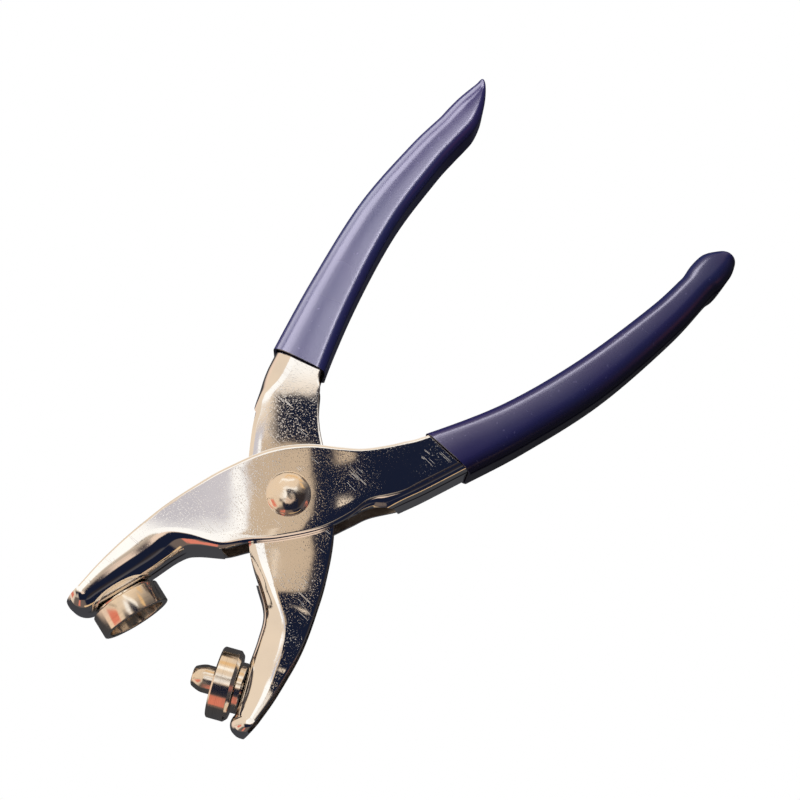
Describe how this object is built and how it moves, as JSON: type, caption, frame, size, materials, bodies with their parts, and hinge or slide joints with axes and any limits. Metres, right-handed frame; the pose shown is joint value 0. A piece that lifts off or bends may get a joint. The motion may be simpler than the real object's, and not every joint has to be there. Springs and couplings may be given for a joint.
{
  "type": "eyelet setting pliers",
  "caption": "Hand pliers with a cup die and a stud die on folded steel jaws, a domed pivot rivet, an opening spring and sleeved handles, for setting eyelets and snaps in leather.",
  "frame": {"origin": "on the pivot axis, at the flat tail of the pivot rivet that the pliers rest on", "axes": "+Z along the pivot axis towards the domed head, +Y towards the handles, +X towards the stud jaw's side"},
  "size_m": [0.0801, 0.1685, 0.0195],
  "materials": {
    "plate": "bright nickel-plated pressed steel, lightly scratched",
    "grip": "dark navy soft vinyl, semi-gloss",
    "rivet": "bright plated rivet, warm tone",
    "bush": "plain turned steel",
    "spring": "drawn spring wire",
    "die": "fine-turned nickel-plated steel"
  },
  "bodies": {
    "outer": {"outer_arm": "plate", "outer_grip": "grip", "pivot_rivet": "rivet", "cup_die": "die", "cup_seat": "die", "cup_rivet": "die", "opening_spring": "spring"},
    "inner": {"inner_arm": "plate", "inner_grip": "grip", "pivot_bush": "bush", "stud_collar": "die", "stud_seat": "die", "stud_pin": "die"}
  },
  "joints": [
    {"name": "jaw_pivot", "type": "hinge", "parent": "outer", "child": "inner", "pos_m": [0, 0, 0.0092], "axis": [0, 0, -1], "range_deg": [0, 26], "stiffness_Nm_per_rad": 0.5, "springref_deg": -20.05, "deforming": ["opening_spring"]}
  ]
}
